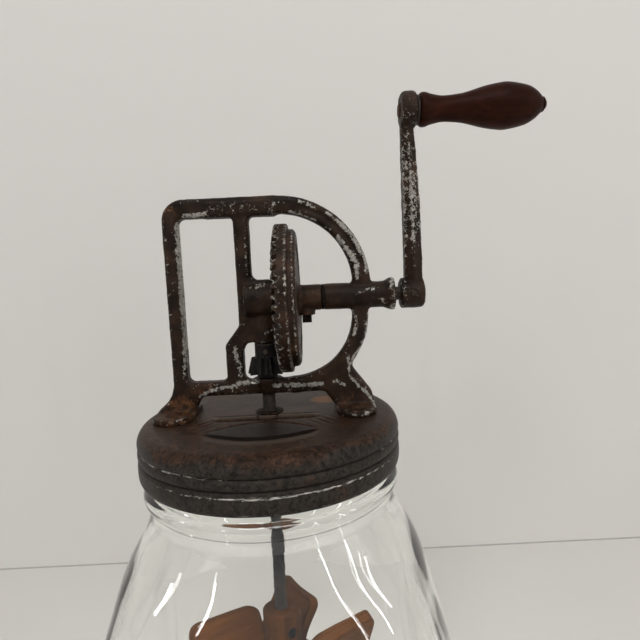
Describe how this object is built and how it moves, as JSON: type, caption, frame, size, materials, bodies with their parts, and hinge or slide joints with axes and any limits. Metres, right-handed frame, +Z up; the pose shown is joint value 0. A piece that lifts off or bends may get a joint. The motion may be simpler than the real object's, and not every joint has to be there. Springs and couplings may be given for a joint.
{
  "type": "glass butter churn",
  "caption": "Glass jar churn: a screw lid carries a cast frame with a hand crank and a bevel gear drive that spins a wooden dasher in the jar.",
  "frame": {"origin": "centre of the jar's flat base, where it stands on a table", "axes": "+Z up along the jar's and the dasher spindle's axis, +X along the crankshaft towards the crank, -Y towards the viewer of the picture"},
  "size_m": [0.2205, 0.1712, 0.367],
  "materials": {
    "clear_glass": "clear, faintly green where thick, smooth with a few moulding waves",
    "seal_rubber": "dark aged rubber",
    "rusted_tinplate": "tarnished tinplate, mottled with rust, bright where the rolled bands are rubbed",
    "japanned_iron": "brown-black baked finish, worn through to grey metal on the edges",
    "dark_iron": "nearly black, oily",
    "rusted_rivet": "rusty, dull",
    "bare_steel": "dull grey, pitted",
    "polished_wood": "dark red-brown hardwood, worn smooth and glossy",
    "raw_wood": "bare orange-brown wood, matt, with plain grain"
  },
  "bodies": {
    "jar": {"glass_jar": "clear_glass", "jar_shoulder": "clear_glass", "jar_neck": "clear_glass"},
    "seal": {"lid_seal": "seal_rubber"},
    "lid": {"screw_lid": "rusted_tinplate", "spindle_ferrule": "rusted_tinplate", "gear_frame": "japanned_iron", "frame_rivets": "rusted_rivet", "rivet_burrs": "rusted_rivet"},
    "crank": {"crank_shaft": "bare_steel", "drive_gear": "japanned_iron", "gear_set_screw": "dark_iron", "thrust_washer": "bare_steel", "crank_arm": "japanned_iron", "crank_pin": "bare_steel", "grip_rivet": "rusted_rivet", "grip_washer": "bare_steel"},
    "grip": {"wooden_grip": "polished_wood"},
    "dasher": {"pinion": "dark_iron", "pinion_pin": "bare_steel", "spindle_washer": "bare_steel", "dasher_spindle": "bare_steel", "dasher_hub": "raw_wood", "dasher_blade_1": "raw_wood", "dasher_blade_2": "raw_wood", "dasher_blade_3": "raw_wood", "dasher_blade_4": "raw_wood", "blade_nails": "dark_iron", "hub_nail": "dark_iron"}
  },
  "joints": [
    {"name": "lid_lift", "type": "slide", "parent": "jar", "child": "seal", "axis": [0, 0, 1], "range_m": [0, 0.16]},
    {"name": "lid_turn", "type": "hinge", "parent": "seal", "child": "lid", "pos_m": [0, 0, 0.2184], "axis": [0, 0, 1], "range_deg": [0, 450]},
    {"name": "crank_spin", "type": "hinge", "parent": "lid", "child": "crank", "pos_m": [0, 0, 0.27285], "axis": [1, 0, 0], "continuous": true},
    {"name": "grip_spin", "type": "hinge", "parent": "crank", "child": "grip", "pos_m": [0.1, 0, 0.35675], "axis": [1, 0, 0], "continuous": true},
    {"name": "dasher_spin", "type": "hinge", "parent": "lid", "child": "dasher", "pos_m": [0, 0, 0.1], "axis": [0, 0, 1], "continuous": true}
  ],
  "couplings": [
    {"joint": "dasher_spin", "follows": "crank_spin", "ratio": 4.4}
  ]
}
